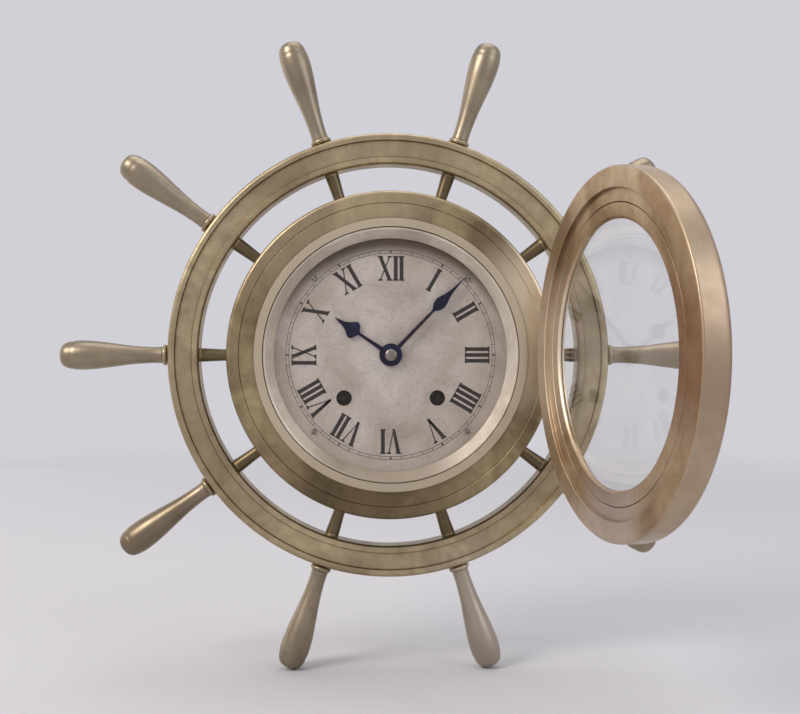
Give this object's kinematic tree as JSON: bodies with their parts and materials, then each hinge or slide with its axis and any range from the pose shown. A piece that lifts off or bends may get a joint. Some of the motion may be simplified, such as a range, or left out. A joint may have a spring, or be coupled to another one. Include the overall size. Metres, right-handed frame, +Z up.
{
  "type": "ship wheel clock",
  "caption": "Wall clock in a brass ship's wheel: a drum case with turned handles round it, a silvered dial with spade hands and a glazed bezel that swings open on a side hinge.",
  "frame": {"origin": "centre of the case back's flat outer face, which lies on the wall", "axes": "+Z is up, +X is to the right as seen from the front, and the front faces -Y; the wall is the plane Y = 0"},
  "size_m": [0.33, 0.2219, 0.3138],
  "materials": {
    "wheel_brass": "aged brass, hand polished, dulled by handling",
    "case_brass": "aged turned brass, satin",
    "bezel_brass": "aged polished brass, coppery inside",
    "silvered_brass": "silvered and lacquered, fine satin",
    "glass": "clear polished glass, faint green",
    "blued_steel": "heat blued steel",
    "screw_steel": "polished steel, darkened with age",
    "movement_brass": "machined brass, lacquered",
    "movement_steel": "machined and polished steel"
  },
  "bodies": {
    "case": {"case_barrel": "case_brass", "case_back": "case_brass", "back_screw_1": "screw_steel", "back_screw_2": "screw_steel", "back_screw_3": "screw_steel", "wheel_rim": "wheel_brass", "spoke_01": "wheel_brass", "spoke_02": "wheel_brass", "spoke_03": "wheel_brass", "spoke_04": "wheel_brass", "spoke_05": "wheel_brass", "spoke_06": "wheel_brass", "spoke_07": "wheel_brass", "spoke_08": "wheel_brass", "spoke_09": "wheel_brass", "spoke_10": "wheel_brass", "hinge_case_leaf": "case_brass", "hinge_pin": "screw_steel", "dial": "silvered_brass", "dial_surround": "silvered_brass", "dial_screw_1": "screw_steel", "dial_screw_2": "screw_steel", "dial_screw_3": "screw_steel", "dial_screw_4": "screw_steel", "front_plate": "movement_brass", "back_plate": "movement_brass", "pillar_1": "movement_brass", "pillar_2": "movement_brass", "pillar_3": "movement_brass", "movement_screw_1": "movement_steel", "movement_screw_2": "movement_steel", "movement_screw_3": "movement_steel", "escapement_platform": "movement_brass", "bell": "movement_brass", "bell_post": "movement_brass"},
    "bezel": {"bezel": "bezel_brass", "bezel_glass": "glass", "glass_ring": "bezel_brass", "hinge_bezel_leaf": "bezel_brass"},
    "minute_hand": {"minute_hand": "blued_steel", "hand_nut": "screw_steel", "cannon_pinion": "movement_steel", "centre_wheel": "movement_brass"},
    "hour_hand": {"hour_hand": "blued_steel", "hour_wheel": "movement_brass"},
    "minute_wheel": {"minute_wheel": "movement_brass"},
    "intermediate_wheel": {"intermediate_wheel": "movement_brass"},
    "third_wheel": {"third_wheel": "movement_brass"},
    "time_barrel": {"time_barrel": "movement_brass", "time_mainspring": "movement_steel"},
    "strike_barrel": {"strike_barrel": "movement_brass", "strike_mainspring": "movement_steel"},
    "strike_star_wheel": {"strike_star_wheel": "movement_brass"},
    "time_winding_arbor": {"time_winding_arbor": "movement_steel"},
    "strike_winding_arbor": {"strike_winding_arbor": "movement_steel"},
    "time_click": {"time_click": "movement_steel"},
    "strike_click": {"strike_click": "movement_steel"},
    "balance_wheel": {"balance_wheel": "movement_brass"},
    "hammer": {"hammer": "movement_steel"}
  },
  "joints": [
    {"name": "bezel_hinge", "type": "hinge", "parent": "case", "child": "bezel", "pos_m": [0.0801, -0.0663, 0], "axis": [0, 0, 1], "range_deg": [-103.5, 8]},
    {"name": "minute_hand_turn", "type": "hinge", "parent": "case", "child": "minute_hand", "pos_m": [0, -0.045, 0], "axis": [0, 1, 0], "continuous": true},
    {"name": "hour_hand_turn", "type": "hinge", "parent": "case", "child": "hour_hand", "pos_m": [0, -0.045, 0], "axis": [0, 1, 0], "continuous": true},
    {"name": "minute_wheel_turn", "type": "hinge", "parent": "case", "child": "minute_wheel", "pos_m": [0.006, -0.043, 0.01039], "axis": [0, 1, 0], "continuous": true},
    {"name": "intermediate_wheel_turn", "type": "hinge", "parent": "case", "child": "intermediate_wheel", "pos_m": [0.01648, -0.03, -0.00284], "axis": [0, 1, 0], "continuous": true},
    {"name": "third_wheel_turn", "type": "hinge", "parent": "case", "child": "third_wheel", "pos_m": [-0.00267, -0.03, 0.01517], "axis": [0, 1, 0], "continuous": true},
    {"name": "time_barrel_turn", "type": "hinge", "parent": "case", "child": "time_barrel", "pos_m": [0.0229, -0.03, -0.0211], "axis": [0, 1, 0], "continuous": true},
    {"name": "strike_barrel_turn", "type": "hinge", "parent": "case", "child": "strike_barrel", "pos_m": [-0.0229, -0.03, -0.0211], "axis": [0, 1, 0], "continuous": true},
    {"name": "strike_star_wheel_turn", "type": "hinge", "parent": "case", "child": "strike_star_wheel", "pos_m": [-0.02952, -0.03, -0.00291], "axis": [0, 1, 0], "continuous": true},
    {"name": "time_winding", "type": "hinge", "parent": "case", "child": "time_winding_arbor", "pos_m": [0.0229, -0.04, -0.0211], "axis": [0, 1, 0], "continuous": true},
    {"name": "strike_winding", "type": "hinge", "parent": "case", "child": "strike_winding_arbor", "pos_m": [-0.0229, -0.04, -0.0211], "axis": [0, 1, 0], "continuous": true},
    {"name": "time_click_lift", "type": "hinge", "parent": "case", "child": "time_click", "pos_m": [0.0315, -0.042, -0.02712], "axis": [0, 1, 0], "range_deg": [0, 14], "stiffness_Nm_per_rad": 0.0005, "springref_deg": -11.46},
    {"name": "strike_click_lift", "type": "hinge", "parent": "case", "child": "strike_click", "pos_m": [-0.0315, -0.042, -0.02712], "axis": [0, 1, 0], "range_deg": [0, 14], "stiffness_Nm_per_rad": 0.0005, "springref_deg": -11.46},
    {"name": "balance_swing", "type": "hinge", "parent": "case", "child": "balance_wheel", "pos_m": [0, -0.026, 0.037], "axis": [0, 1, 0], "range_deg": [-270, 270], "stiffness_Nm_per_rad": 0.000007},
    {"name": "hammer_lift", "type": "hinge", "parent": "case", "child": "hammer", "pos_m": [-0.044, -0.03, 0.008], "axis": [0, 1, 0], "range_deg": [0, 14], "stiffness_Nm_per_rad": 0.01, "springref_deg": -11.46}
  ],
  "couplings": [
    {"joint": "hour_hand_turn", "follows": "minute_hand_turn", "ratio": 0.083333},
    {"joint": "minute_wheel_turn", "follows": "minute_hand_turn", "ratio": -0.33333},
    {"joint": "third_wheel_turn", "follows": "minute_hand_turn", "ratio": -6},
    {"joint": "intermediate_wheel_turn", "follows": "minute_hand_turn", "ratio": -0.22222},
    {"joint": "time_barrel_turn", "follows": "minute_hand_turn", "ratio": 0.049383},
    {"joint": "strike_star_wheel_turn", "follows": "strike_barrel_turn", "ratio": -4.5}
  ]
}
